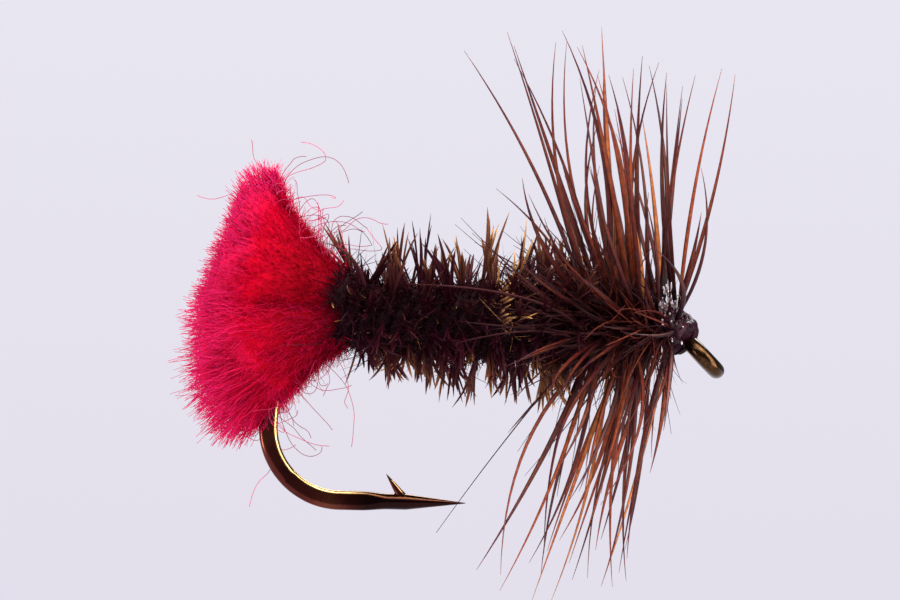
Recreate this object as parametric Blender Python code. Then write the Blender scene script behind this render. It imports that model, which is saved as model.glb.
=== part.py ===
"""A red-tag dry fly, dressed on a size 12 down-eye hook.

Frame: the origin is the centre of the eye ring, where the leader is tied. +X runs along the shank
towards the eye, +Y is the fly's left side, +Z is up, with the hook's point below the shank.
Sizes are in millimetres and become metres in place().
"""

import math
import random

import bmesh
import bpy
from mathutils import Vector

MM = 0.001
ALONG = Vector((1, 0, 0))
ACROSS = Vector((0, 1, 0))
UP = Vector((0, 0, 1))

# Driving dimensions, in millimetres.
WIRE_R = 0.25
EYE_RING_R = 0.60
EYE_TURN_DOWN = math.radians(45)
SHANK_Z = 0.88
SHANK_FRONT_X = -1.35
NECK_REACH = 1.2
BEND_X = -11.25
GAPE = 5.63
BEND_LOW_R = 2.28
POINT_X = -7.32
POINT_TAPER = 1.85
POINT_R = 0.012
FORGED_HALF_HEIGHT = 0.30
FORGED_HALF_WIDTH = 0.20
FORGED_LIMB_END_X = -9.9
FORGED_LIMB_FULL_X = -10.4
BEND_FORGING = 0.92
BEND_STEPS = 10
EYE_ENTRY = math.radians(128)
BARB_ROOT = Vector((-9.28, 0, -4.65))
BARB_TIP = Vector((-9.82, 0, -3.88))

WOUND_GAP = 0.025
CEMENT_THICKNESS = 0.025
UNDERBODY_R = 0.36
WOOL_BUTT_R = 0.72
LASHING_R = 0.82
HERL_ROOT_R = 0.86
HERL_REAR_X = -11.25
HERL_FRONT_X = -4.30
HERL_COUNT = 4
HERL_PITCH = 0.50
REAR_HACKLE_SPAN = (-3.78, -2.94)
FRONT_HACKLE_SPAN = (-2.50, -1.66)
HACKLE_TURNS = 3
BARBS_PER_TURN = 15.4
BARB_LENGTH = 8.65
BARB_DIP = 0.45

EYE_AXIS = Vector((math.cos(EYE_TURN_DOWN), 0, -math.sin(EYE_TURN_DOWN)))
SHANK_AXIS = Vector((0, 0, SHANK_Z))
BEND_CENTRE_Z = SHANK_Z - GAPE + BEND_LOW_R
SIDES = 12
HOOK_SIDES = 20


# ---------------------------------------------------------------- tools


def clear_scene():
    for obj in list(bpy.data.objects):
        bpy.data.objects.remove(obj)


def make_material(name, colour, roughness, metallic=0.0):
    material = bpy.data.materials.new(name)
    material.use_nodes = True
    shader = material.node_tree.nodes["Principled BSDF"]
    shader.inputs["Base Color"].default_value = (*colour, 1)
    shader.inputs["Roughness"].default_value = roughness
    shader.inputs["Metallic"].default_value = metallic
    return material


def place(name, bm, material):
    """Turns a bmesh in millimetres into an object in metres, smooth but for its hard edges."""
    bmesh.ops.recalc_face_normals(bm, faces=bm.faces)
    bmesh.ops.scale(bm, vec=(MM, MM, MM), verts=bm.verts)
    mesh = bpy.data.meshes.new(name)
    bm.to_mesh(mesh)
    bm.free()
    mesh.shade_smooth()
    mesh.set_sharp_from_angle(angle=math.radians(40))
    mesh.materials.append(material)
    obj = bpy.data.objects.new(name, mesh)
    bpy.context.scene.collection.objects.link(obj)
    return obj


def add_loft(bm, loops, hollow=False):
    """Skins loops of equal length. A solid gets end caps; a hollow one closes onto its first loop."""
    rows = [[bm.verts.new(point) for point in loop] for loop in loops]
    pairs = list(zip(rows, rows[1:]))
    if hollow:
        pairs.append((rows[-1], rows[0]))
    for near, far in pairs:
        for k in range(len(near)):
            after = (k + 1) % len(near)
            bm.faces.new((near[k], near[after], far[after], far[k]))
    if not hollow:
        bm.faces.new(rows[0])
        bm.faces.new(rows[-1])


def loft(name, loops, material, hollow=False):
    bm = bmesh.new()
    add_loft(bm, loops, hollow)
    return place(name, bm, material)


def ring(centre, normal, side, radius, half_width=None, sides=SIDES):
    """A loop about centre: round, or with its two sides cut flat at half_width along side."""
    limit = radius if half_width is None else half_width
    loop = []
    for k in range(sides):
        angle = 2 * math.pi * (k + 0.5) / sides
        out = min(limit, max(-limit, radius * math.sin(angle)))
        loop.append(centre + normal * (radius * math.cos(angle)) + side * out)
    return loop


def smooth_step(value, start, end):
    t = min(1.0, max(0.0, (value - start) / (end - start)))
    return t * t * (3 - 2 * t)


def hermite(a, a_slope, b, b_slope, t):
    return (
        a * (2 * t**3 - 3 * t**2 + 1)
        + a_slope * (t**3 - 2 * t**2 + t)
        + b * (3 * t**2 - 2 * t**3)
        + b_slope * (t**3 - t**2)
    )


def sleeve(name, stations, inner, material, sides=SIDES):
    """A hollow sleeve about a path. Each station is its centre, its direction and its outer radius."""
    outside, inside = [], []
    for centre, direction, outer in stations:
        normal = direction.cross(ACROSS).normalized()
        side = normal.cross(direction)
        outside.append(ring(centre, normal, side, outer, sides=sides))
        inside.append(ring(centre, normal, side, inner, sides=sides))
    return loft(name, outside + inside[::-1], material, hollow=True)


def shank_sleeve(name, profile, inner, material):
    """A sleeve on the straight shank, from (x, outer radius) pairs."""
    stations = [(SHANK_AXIS + ALONG * x, ALONG, outer) for x, outer in profile]
    return sleeve(name, stations, inner, material)


def about_shank(x, radius, angle):
    """A point at an angle about the shank, counted from straight up towards the fly's left."""
    return SHANK_AXIS + ALONG * x + (UP * math.cos(angle) + ACROSS * math.sin(angle)) * radius


# ---------------------------------------------------------------- hook


def eye_point(angle):
    return (EYE_AXIS * math.cos(angle) + ACROSS * math.sin(angle)) * EYE_RING_R


def neck_point(t):
    """The wire between the shank, at t = 0, and the eye ring, at t = 1. Under 0 it is on the shank."""
    shank = SHANK_AXIS + ALONG * SHANK_FRONT_X
    if t < 0:
        return shank + ALONG * (NECK_REACH * t)
    into_ring = (EYE_AXIS * math.sin(EYE_ENTRY) - ACROSS * math.cos(EYE_ENTRY)).normalized()
    return hermite(shank, ALONG * NECK_REACH, eye_point(EYE_ENTRY), into_ring, t)


def hook_path():
    """The wire's centre line from the point, round the bend and along the shank to the eye's end."""
    spear_z = BEND_CENTRE_Z - BEND_LOW_R
    taper_x = POINT_X - POINT_TAPER
    spear = (POINT_X, POINT_X - 0.35, taper_x + 0.7, taper_x, -9.5, -9.9, -10.15, -10.4, -10.9)
    path = [Vector((x, 0, spear_z)) for x in spear]
    quarter = [math.pi / 2 * k / BEND_STEPS for k in range(BEND_STEPS + 1)]
    for a in quarter:
        across, drop = math.sin(a), math.cos(a)
        path.append(Vector((BEND_X - BEND_LOW_R * across, 0, BEND_CENTRE_Z - BEND_LOW_R * drop)))
    upper_rise = SHANK_Z - BEND_CENTRE_Z
    for a in quarter[1:]:
        path.append(
            Vector((BEND_X - BEND_LOW_R * math.cos(a), 0, BEND_CENTRE_Z + upper_rise * math.sin(a)))
        )
    path += [neck_point(t / 10) for t in range(11)]
    path += [eye_point(math.radians(a)) for a in range(108, -147, -18)]
    return path


def forging(centre):
    """How far the wire is forged flat: fully on the low limb, nearly so round the bend."""
    if centre.z > BEND_CENTRE_Z - BEND_LOW_R + WIRE_R:
        return BEND_FORGING * smooth_step(BEND_X - centre.x, 0, 0.9)
    return 1 - smooth_step(centre.x, FORGED_LIMB_FULL_X, FORGED_LIMB_END_X)


def build_wire(material):
    path = hook_path()
    side = ACROSS
    loops = []
    for i, centre in enumerate(path):
        along = (path[min(i + 1, len(path) - 1)] - path[max(i - 1, 0)]).normalized()
        side = (side - along * side.dot(along)).normalized()
        radius = WIRE_R + (FORGED_HALF_HEIGHT - WIRE_R) * forging(centre)
        flat = WIRE_R + (FORGED_HALF_WIDTH - WIRE_R) * forging(centre)
        taper = (POINT_X - centre.x) / POINT_TAPER
        if centre.z < BEND_CENTRE_Z and 0 <= taper < 1:
            radius = POINT_R + (WIRE_R - POINT_R) * taper
        loops.append(ring(centre, along.cross(side), side, radius, flat, sides=HOOK_SIDES))
    return loft("hook", loops, material)


def build_hook(material):
    """The bare hook: ring eye, shank, forged bend, spear and barb, all one wire."""
    hook = build_wire(material)
    normal = (BARB_TIP - BARB_ROOT).normalized().cross(ACROSS)
    slices = ((0.0, 0.17), (0.35, 0.11), (0.75, 0.055), (1.0, 0.008))
    sliver = [ring(BARB_ROOT.lerp(BARB_TIP, t), normal, ACROSS, r, sides=8) for t, r in slices]
    barb = loft("barb_tool", sliver, material)
    barb.hide_render = True
    barb.display_type = "WIRE"
    join = hook.modifiers.new("barb", "BOOLEAN")
    join.operation = "UNION"
    join.object = barb
    return hook


# ---------------------------------------------------------------- tying thread


def build_thread(black):
    """The tying thread's stages on the shank: base layer, tag lashing, shoulder and hackle wraps."""
    inner = WIRE_R + WOUND_GAP
    base = ((-11.0, 0.30), (-10.9, UNDERBODY_R), (-1.72, UNDERBODY_R), (-1.62, 0.31))
    shank_sleeve("thread_underbody", base, inner, black)
    over_wool = WOOL_BUTT_R + WOUND_GAP + 0.01
    lashing = ((-10.95, 0.79), (-10.85, LASHING_R), (-10.30, LASHING_R), (-10.20, 0.79))
    shank_sleeve("tag_lashing", lashing, over_wool, black)
    shoulder = ((-4.08, 0.50), (-4.05, 0.72), (-3.96, 0.64), (-3.90, 0.48))
    shank_sleeve("shoulder_wraps", shoulder, UNDERBODY_R + WOUND_GAP, black)
    between = ((-2.84, 0.42), (-2.81, 0.48), (-2.63, 0.48), (-2.60, 0.42))
    shank_sleeve("hackle_wraps", between, UNDERBODY_R + WOUND_GAP, black)


def neck_stations(profile):
    """Stations on the bent neck behind the eye, from (t, outer radius) pairs."""
    stations = []
    for t, outer in profile:
        direction = (neck_point(t + 0.01) - neck_point(t - 0.01)).normalized()
        stations.append((neck_point(t), direction, outer))
    return stations


def build_head(black, varnish):
    """Head wraps, the whip finish that locks them, and the coat of cement over both."""
    inner = WIRE_R + WOUND_GAP
    wraps = ((-0.16, 0.36), (-0.10, 0.50), (0.02, 0.60), (0.14, 0.62), (0.26, 0.58), (0.32, 0.46))
    sleeve("head_wraps", neck_stations(wraps), inner, black)
    finish = ((0.335, 0.42), (0.36, 0.50), (0.39, 0.44), (0.42, 0.46), (0.45, 0.38), (0.48, 0.34))
    sleeve("whip_finish", neck_stations(finish), inner, black)
    coat = ((-0.10, 0.55), (0.02, 0.65), (0.14, 0.67), (0.26, 0.63), (0.36, 0.56), (0.46, 0.50))
    stations = neck_stations(coat)
    outside, inside = [], []
    for centre, direction, outer in stations:
        normal = direction.cross(ACROSS).normalized()
        side = normal.cross(direction)
        outside.append(ring(centre, normal, side, outer))
        inside.append(ring(centre, normal, side, outer - CEMENT_THICKNESS))
    loft("head_cement", outside + inside[::-1], varnish, hollow=True)


def build_stub(material):
    """The clipped ends of the hackle stems, left standing under the head."""
    top = Vector((-1.20, 0, 0.16))
    end = Vector((-1.11, 0, -0.38))
    normal = (end - top).cross(ACROSS).normalized()
    loops = [ring(top, normal, ACROSS, 0.07, sides=8), ring(end, normal, ACROSS, 0.09, sides=8)]
    loft("stem_stub", loops, material)


# ---------------------------------------------------------------- wool tag

FAN_TOP = math.radians(62)
FAN_BOTTOM = math.radians(-50)
FAN_SEAM = math.radians(6)
FAN_HALF_GAP = WIRE_R + 0.02
FAN_DEPTH = 1.75


def fan_reach(angle):
    """How far the trimmed end of the tag is from its root: longest at the top and low corners."""
    off = (math.degrees(angle) - 15) / 45
    return min(5.35, 4.45 + 0.95 * off * off)


def wool_ply_loops(left, upper):
    """One ply of the yarn: a butt lashed along the shank, then a quarter of the flared tag."""
    y_sign = 1 if left else -1
    z_sign = 1 if upper else -1
    loops = []
    first, last = math.radians(86), math.radians(4)
    inner_r = UNDERBODY_R + 0.02
    for x in (-4.35, -7.5, -10.7, BEND_X + 0.15):
        arc = [(inner_r, last + (first - last) * k / 3) for k in range(4)]
        arc += [(WOOL_BUTT_R, first + (last - first) * k / 5) for k in range(6)]
        loops.append(
            [
                SHANK_AXIS
                + ALONG * x
                + ACROSS * (y_sign * r * math.cos(a))
                + UP * (z_sign * r * math.sin(a))
                for r, a in arc
            ]
        )
    edge = FAN_TOP if upper else FAN_BOTTOM
    seam = FAN_SEAM + z_sign * math.radians(0.8)
    root = SHANK_AXIS + ALONG * BEND_X
    for t in (0.12, 0.25, 0.5, 0.75, 0.92, 1.0):
        depth = (0.55 + (FAN_DEPTH - 0.55) * smooth_step(t, 0.05, 0.8)) * (0.88 if t == 1.0 else 1)
        turns = [(seam + (edge - seam) * k / 3, 0.0) for k in range(4)]
        turns += [(edge + (seam - edge) * k / 5, math.sin(math.pi / 2 * k / 5)) for k in range(6)]
        loop = []
        for angle, swell in turns:
            reach = fan_reach(angle) * t
            out = FAN_HALF_GAP + depth * swell
            loop.append(
                root
                - ALONG * (reach * math.cos(angle))
                + UP * (reach * math.sin(angle))
                + ACROSS * (y_sign * out)
            )
        loops.append(loop)
    return loops


def build_tag(red):
    quarters = ((True, True), (True, False), (False, True), (False, False))
    for number, (left, upper) in enumerate(quarters, 1):
        loft(f"wool_ply_{number}", wool_ply_loops(left, upper), red)


# ---------------------------------------------------------------- herl body

HELIX_STEPS = 16
LEAD = HERL_COUNT * HERL_PITCH


def flue_reach(x):
    """How far the herl's flues stand out from the shank's axis: shorter at both ends of the body."""
    rear = 1.85 + 0.55 * smooth_step(x, -11.0, -9.5)
    front = 1.15 + 2.3 * (HERL_FRONT_X + 0.1 - x)
    return min(rear, front)


def herl_loops(strand):
    """One herl: its quill wound on the shank, with the flues as a thin fin standing out from it."""
    start = HERL_REAR_X + strand * HERL_PITCH
    turns = (HERL_FRONT_X - HERL_REAR_X - (HERL_COUNT - 1) * HERL_PITCH) / LEAD
    steps = round(turns * HELIX_STEPS)
    loops = []
    for k in range(steps + 1):
        angle = 2 * math.pi * k / HELIX_STEPS
        x = start + LEAD * k / HELIX_STEPS
        reach = flue_reach(x)
        middle = (HERL_ROOT_R + reach) / 2
        fin = ((0.20, HERL_ROOT_R), (0.20, HERL_ROOT_R + 0.18), (0.13, middle), (0.07, reach))
        section = [(x - half, r) for half, r in fin] + [(x + half, r) for half, r in fin[::-1]]
        loops.append([about_shank(at, r, angle) for at, r in section])
    return loops


def build_body(dark):
    for strand in range(HERL_COUNT):
        loft(f"herl_strand_{strand + 1}", herl_loops(strand), dark)


# ---------------------------------------------------------------- hackle

STEM_R = 0.075
STEM_HELIX_R = UNDERBODY_R + 0.02 + STEM_R
STEM_STEPS = 14


def barb_lean(x, angle):
    """The barbs' sweep from upright: back at the rear turns, and forward on top of the front ones."""
    forward = (x - REAR_HACKLE_SPAN[0]) / (FRONT_HACKLE_SPAN[1] - REAR_HACKLE_SPAN[0])
    under = (1 - math.cos(angle)) / 2
    return math.radians(-21 + (31 - 14 * under) * forward)


def add_barb(bm, x, angle, length):
    """One barb: a slim three-sided taper from inside the stem to its tip, bowed a little to the rear."""
    out = UP * math.cos(angle) + ACROSS * math.sin(angle)
    across = ALONG.cross(out)
    lean = barb_lean(x, angle)
    base = about_shank(x, STEM_HELIX_R, angle)
    loops = []
    for t, half in ((0.0, 0.05), (0.3, 0.055), (0.65, 0.04), (1.0, 0.008)):
        bow = lean * (0.6 + 0.4 * t)
        along = out * math.cos(bow) + ALONG * math.sin(bow)
        broad = along.cross(across)
        centre = base + along * (length * t)
        corners = ((1.0, 0.0), (-0.5, 0.7), (-0.5, -0.7))
        loops.append([centre + broad * (half * a) + across * (half * b) for a, b in corners])
    add_loft(bm, loops)


def build_hackle(name, span, material, seed):
    """One feather: its stem wound round the shank, with every barb growing out of it."""
    rng = random.Random(seed)
    start_x, end_x = span
    steps = HACKLE_TURNS * STEM_STEPS
    pitch = (end_x - start_x) / HACKLE_TURNS
    stem = []
    for k in range(steps + 1):
        angle = 2 * math.pi * k / STEM_STEPS
        x = start_x + pitch * k / STEM_STEPS
        centre = about_shank(x, STEM_HELIX_R, angle)
        out = (centre - SHANK_AXIS - ALONG * x).normalized()
        stem.append(ring(centre, out, ALONG, STEM_R, sides=6))
    feather = loft(name, stem, material)

    bm = bmesh.new()
    count = int(HACKLE_TURNS * BARBS_PER_TURN)
    for k in range(count):
        turn = (k + 0.5) / BARBS_PER_TURN
        angle = 2 * math.pi * turn
        length = BARB_LENGTH + BARB_DIP * math.cos(angle) + rng.uniform(-0.5, 0.3)
        add_barb(bm, start_x + pitch * turn, angle, length)
    barbs = place(name + "_barb_tool", bm, material)
    barbs.hide_render = True
    barbs.display_type = "WIRE"
    join = feather.modifiers.new("barbs", "BOOLEAN")
    join.operation = "UNION"
    join.use_self = True
    join.object = barbs
    return feather


# ---------------------------------------------------------------- the fly


def main():
    clear_scene()
    bronze = make_material("bronzed_steel", (0.16, 0.09, 0.035), 0.25, 1.0)
    black = make_material("black_thread", (0.012, 0.010, 0.012), 0.55)
    varnish = make_material("head_cement", (0.02, 0.016, 0.016), 0.08)
    red = make_material("red_wool", (0.72, 0.0, 0.06), 0.9)
    dark = make_material("peacock_herl", (0.035, 0.018, 0.02), 0.6)
    brown = make_material("brown_hackle", (0.20, 0.055, 0.022), 0.35)

    build_hook(bronze)
    build_thread(black)
    build_tag(red)
    build_body(dark)
    build_hackle("rear_hackle", REAR_HACKLE_SPAN, brown, seed=3)
    build_hackle("front_hackle", FRONT_HACKLE_SPAN, brown, seed=8)
    build_head(black, varnish)
    build_stub(brown)


main()
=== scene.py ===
"""The looks of a red-tag dry fly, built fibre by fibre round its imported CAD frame.

Everything is worked out in millimetres, in the CAD's frame, and times MM where Blender takes metres.
"""

import math

import bpy
import numpy as np
from mathutils import Matrix, Vector, noise


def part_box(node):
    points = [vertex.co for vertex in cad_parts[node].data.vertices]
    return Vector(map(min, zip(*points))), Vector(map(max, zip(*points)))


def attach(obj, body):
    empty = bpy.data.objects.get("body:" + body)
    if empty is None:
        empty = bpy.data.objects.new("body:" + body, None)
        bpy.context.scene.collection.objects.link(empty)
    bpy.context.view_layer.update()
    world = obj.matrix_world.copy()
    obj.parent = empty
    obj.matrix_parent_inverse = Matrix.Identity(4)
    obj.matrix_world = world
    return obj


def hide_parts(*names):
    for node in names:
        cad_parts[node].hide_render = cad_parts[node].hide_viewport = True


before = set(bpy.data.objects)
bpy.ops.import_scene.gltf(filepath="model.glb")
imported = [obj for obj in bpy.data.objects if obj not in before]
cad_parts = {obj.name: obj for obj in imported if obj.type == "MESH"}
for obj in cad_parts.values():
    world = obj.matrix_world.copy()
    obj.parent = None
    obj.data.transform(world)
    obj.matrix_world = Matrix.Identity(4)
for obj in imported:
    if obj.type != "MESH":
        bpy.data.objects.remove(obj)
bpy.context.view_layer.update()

MM = 0.001
X, Y, Z = np.eye(3)
rng = np.random.default_rng(12)


def millimetres(node):
    """A CAD node's lowest and highest corners, in millimetres."""
    low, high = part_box(node)
    return np.array(low) / MM, np.array(high) / MM


underbody_low, underbody_high = millimetres("thread_underbody")
SHANK_Z = (underbody_low[2] + underbody_high[2]) / 2
SHANK = Z * SHANK_Z


# -------- fibres

GROWN_SHARE = 0.12  # how much of its host's length a short fibre spans, for the colours
SKIN_TINT = 0.4
CRIMP_WAVES = 1.6


def unit(vectors):
    """Each vector, scaled to a length of one."""
    return vectors / np.maximum(np.linalg.norm(vectors, axis=-1, keepdims=True), 1e-9)


def walls(index):
    """Quads between neighbouring rings. The last axis of the vertex numbers runs round a ring."""
    after = np.roll(index, -1, axis=-1)
    corners = [index[..., :-1, :], after[..., :-1, :], after[..., 1:, :], index[..., 1:, :]]
    return np.stack(corners, axis=-1).reshape(-1, 4).tolist()


def tubes(name, paths, widths, material, facing=Y, flatness=1.0, tints=None, sides=3, begins=None):
    """One mesh of many tapering tubes.

    paths is (fibre, point, xyz). widths, the half widths, is (fibre, point) or one number for all.
    A flatness under 1 makes blades, whose broad sides face facing. Each vertex keeps how far
    along its fibre it is, how near its blade's edge, and its fibre's tint, for the materials. A
    short fibre that grows on a longer one begins part of the way along it, and takes its colours
    from there.
    """
    paths = np.asarray(paths, float)
    count, steps = paths.shape[:2]
    facing = np.broadcast_to(np.asarray(facing, float), (count, 3))[:, None, :]
    along = unit(np.gradient(paths, axis=1))
    side = unit(np.cross(along, facing))
    up = np.cross(side, along)
    turn = 2 * np.pi * (np.arange(sides) + 0.5) / sides
    rim = side[:, :, None] * np.cos(turn)[:, None] + up[:, :, None] * (flatness * np.sin(turn))[:, None]
    verts = paths[:, :, None] + rim * np.broadcast_to(widths, (count, steps))[:, :, None, None]

    index = np.arange(count * steps * sides).reshape(count, steps, sides)
    caps = np.concatenate([index[:, 0, ::-1], index[:, -1]])
    mesh = bpy.data.meshes.new(name)
    mesh.from_pydata((verts.reshape(-1, 3) * MM).tolist(), [], walls(index) + caps.tolist())
    mesh.shade_smooth()
    tints = rng.random(count) if tints is None else np.asarray(tints, float)
    store(mesh, "tint", np.repeat(tints, steps * sides))
    along = np.tile(np.linspace(0, 1, steps), (count, 1))
    if begins is not None:
        along = begins[:, None] + GROWN_SHARE * along
    store(mesh, "along", np.repeat(along.ravel(), sides))
    store(mesh, "edge", np.tile(np.abs(np.cos(turn)), count * steps))
    return link(name, mesh, material)


def skin(name, shells, material):
    """One mesh of smooth tubes, each through rows of points, each row a ring.

    Each vertex keeps how far along the rows it is, and as its edge how far round its ring: 0 at
    the ring's first point and 1 at the point opposite.
    """
    verts, faces, along, crown = [], [], [], []
    for rows in shells:
        rows = np.asarray(rows, float)
        count, sides = rows.shape[:2]
        index = len(verts) + np.arange(count * sides).reshape(count, sides)
        faces += walls(index) + [index[0, ::-1].tolist(), index[-1].tolist()]
        verts += (rows.reshape(-1, 3) * MM).tolist()
        along += np.repeat(np.linspace(0, 1, count), sides).tolist()
        crown += np.tile(0.5 - 0.5 * np.cos(2 * np.pi * np.arange(sides) / sides), count).tolist()
    mesh = bpy.data.meshes.new(name)
    mesh.from_pydata(verts, [], faces)
    mesh.shade_smooth()
    store(mesh, "along", along)
    store(mesh, "edge", crown)
    store(mesh, "tint", np.full(len(verts), SKIN_TINT))
    return link(name, mesh, material)


def store(mesh, name, values):
    """Keeps one number per vertex, which the materials read by its name."""
    mesh.attributes.new(name, "FLOAT", "POINT").data.foreach_set("value", values)


def link(name, mesh, material):
    """A new object in the scene, made of one mesh and one material."""
    mesh.materials.append(material)
    obj = bpy.data.objects.new(name, mesh)
    bpy.context.scene.collection.objects.link(obj)
    return obj


def stands_for(piece, slot, *nodes):
    """A visible piece rides on the fly and replaces its plain CAD solids."""
    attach(piece, "root")
    if nodes:
        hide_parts(*nodes)


def curve_between(start, handle, end, steps):
    """Quadratic curves for many fibres at once: (fibre, point, xyz)."""
    t = np.linspace(0, 1, steps)[None, :, None]
    start, handle, end = (np.asarray(p, float)[:, None, :] for p in (start, handle, end))
    return start * (1 - t) ** 2 + 2 * handle * t * (1 - t) + end * t**2


def wander(count, steps, size, octaves=3):
    """Smooth random offsets that grow from nothing at the root: the crimp of loose fibres."""
    t = np.linspace(0, 1, steps)
    total = np.zeros((count, steps, 3))
    for octave in range(1, octaves + 1):
        phase = rng.uniform(0, 2 * np.pi, (count, 1, 3))
        rate = rng.uniform(0.7, 1.3, (count, 1, 3)) * 2 * np.pi * octave * CRIMP_WAVES
        total += np.sin(rate * t[None, :, None] + phase) / octave
    return total * size * (t[None, :, None] ** 0.7)


# -------- materials


def rgb(r, g, b):
    """A linear colour from 0 to 255 sRGB values."""
    values = [v / 255 for v in (r, g, b)]
    return tuple(v / 12.92 if v <= 0.04045 else ((v + 0.055) / 1.055) ** 2.4 for v in values) + (1.0,)


BLACK = rgb(0, 0, 0)
WHITE = rgb(255, 255, 255)
VARNISH_SHINE = rgb(214, 120, 160)
MIX_A, MIX_B, MIX_COLOUR = 6, 7, 2  # a Mix node's colour sockets, whose names aren't unique


class Nodes:
    """A Principled material and its node tree, with short ways to add nodes to it."""

    def __init__(self, name):
        self.material = bpy.data.materials.new(name)
        self.material.use_nodes = True
        self.tree = self.material.node_tree
        self.shader = self.tree.nodes["Principled BSDF"]

    def add(self, kind, **settings):
        """A new node, with its properties set."""
        node = self.tree.nodes.new(kind)
        for key, value in settings.items():
            setattr(node, key, value)
        return node

    def set(self, **sockets):
        """Sets the shader's sockets; their names' spaces are written as underscores."""
        for key, value in sockets.items():
            self.shader.inputs[key.replace("_", " ")].default_value = value

    def link(self, output, to):
        """Joins two sockets."""
        self.tree.links.new(output, to)

    def feed(self, output, socket):
        """Joins an output to one of the shader's sockets."""
        self.link(output, self.shader.inputs[socket])

    def attribute(self, name):
        """A number that store() has kept on the mesh."""
        return self.add("ShaderNodeAttribute", attribute_name=name).outputs["Fac"]

    def noise(self, scale, detail=3.0, roughness=0.55):
        """Cloudy noise from 0 to 1, with its scale in blotches per metre."""
        place = self.add("ShaderNodeTexCoord").outputs["Object"]
        node = self.add("ShaderNodeTexNoise")
        node.inputs["Scale"].default_value = scale
        node.inputs["Detail"].default_value = detail
        node.inputs["Roughness"].default_value = roughness
        self.link(place, node.inputs["Vector"])
        return node.outputs["Fac"]

    def ramp(self, factor, *stops):
        """A colour ramp over a socket or a stored number: stops are (position, colour) pairs."""
        if isinstance(factor, str):
            factor = self.attribute(factor)
        node = self.add("ShaderNodeValToRGB")
        elements = node.color_ramp.elements
        while len(elements) < len(stops):
            elements.new(0.5)
        for element, (position, colour) in zip(elements, stops):
            element.position = position
            element.color = colour
        self.link(factor, node.inputs["Fac"])
        return node.outputs["Color"]

    def fill(self, sockets, values):
        """Gives each socket its number or colour, or joins it to the output that feeds it."""
        for socket, value in zip(sockets, values):
            if isinstance(value, (float, tuple)):
                socket.default_value = value
            else:
                self.link(value, socket)

    def math(self, operation, a, b):
        """A sum or product of two sockets or numbers."""
        node = self.add("ShaderNodeMath", operation=operation)
        self.fill(node.inputs, (a, b))
        return node.outputs["Value"]

    def mix(self, factor, a, b, blend="MIX"):
        """Two colours mixed or multiplied; each is a socket or a colour."""
        node = self.add("ShaderNodeMix", data_type="RGBA", blend_type=blend)
        self.fill((node.inputs["Factor"], node.inputs[MIX_A], node.inputs[MIX_B]), (factor, a, b))
        return node.outputs[MIX_COLOUR]

    def bump(self, height, strength, depth):
        """Relief on the surface, with its depth in millimetres."""
        node = self.add("ShaderNodeBump")
        node.inputs["Strength"].default_value = strength
        node.inputs["Distance"].default_value = depth * MM
        self.link(height, node.inputs["Height"])
        self.feed(node.outputs["Normal"], "Normal")


def bronze_material():
    """Bronzed hook wire: dark red-brown lacquer over steel, with a gold highlight painted
    along the bend's inner crown.

    The low limb is painted darker, which dulls its painted highlight, and the eye is an even dark brown.
    """
    m = Nodes("bronzed_steel_wire")
    grain = m.noise(9000, 3)
    lacquer = m.ramp(
        m.noise(900, 4),
        (0.30, rgb(82, 30, 26)),
        (0.52, rgb(108, 45, 36)),
        (0.74, rgb(134, 76, 48)),
    )
    # Painted highlight: the gold line's colour, laid on one side of the wire by the ring position.
    crown = m.ramp(grain, (0.3, rgb(214, 172, 104)), (0.7, rgb(246, 214, 144)))
    painted_highlight_mask = m.ramp("edge", (0.7, BLACK), (0.83, rgb(235, 235, 235)))
    # Painted shade: darker on the low limb, which dulls the painted highlight there.
    limb = m.ramp("along", (0.2, rgb(112, 84, 72)), (0.28, WHITE))
    wire = m.mix(1.0, m.mix(painted_highlight_mask, lacquer, crown), limb, "MULTIPLY")
    on_eye = m.ramp("along", (0.70, BLACK), (0.76, WHITE))
    eye = m.ramp(grain, (0.3, rgb(56, 32, 20)), (0.7, rgb(92, 62, 30)))
    m.feed(m.mix(on_eye, wire, eye), "Base Color")
    m.set(Metallic=1.0, Coat_Weight=0.15, Coat_Roughness=0.05, Coat_IOR=1.6)
    m.feed(m.math("ADD", m.math("MULTIPLY", grain, 0.12), 0.1), "Roughness")
    m.bump(grain, 0.08, 0.01)
    return m.material


def wool_material():
    """Dyed wool: crimson, with painted shade deep at the root where it is packed, and painted pink light at
    the fringe.
    """
    m = Nodes("red_wool_fibre")
    # Painted shade and light: dark towards the packed root, pale pink towards the backlit fringe.
    depth = m.ramp(
        "along",
        (0.22, rgb(84, 0, 9)),
        (0.5, rgb(140, 0, 17)),
        (0.8, rgb(218, 0, 42)),
        (1.0, rgb(255, 40, 112)),
    )
    strand = m.ramp("tint", (0.0, rgb(160, 0, 20)), (0.5, rgb(204, 0, 34)), (1.0, rgb(255, 28, 92)))
    m.feed(m.mix(0.4, depth, strand), "Base Color")
    m.set(Roughness=0.7, Specular_IOR_Level=0.04)
    m.set(Subsurface_Weight=0.35, Subsurface_Scale=0.2 * MM, Subsurface_Radius=(1.0, 0.05, 0.15))
    m.bump(m.noise(7000, 4), 0.5, 0.05)
    return m.material


def stray_material():
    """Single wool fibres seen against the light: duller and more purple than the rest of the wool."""
    m = Nodes("red_wool_stray")
    strand = m.ramp("tint", (0.0, rgb(150, 16, 62)), (1.0, rgb(236, 74, 128)))
    m.feed(strand, "Base Color")
    m.set(Roughness=0.7, Specular_IOR_Level=0.1)
    return m.material


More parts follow.
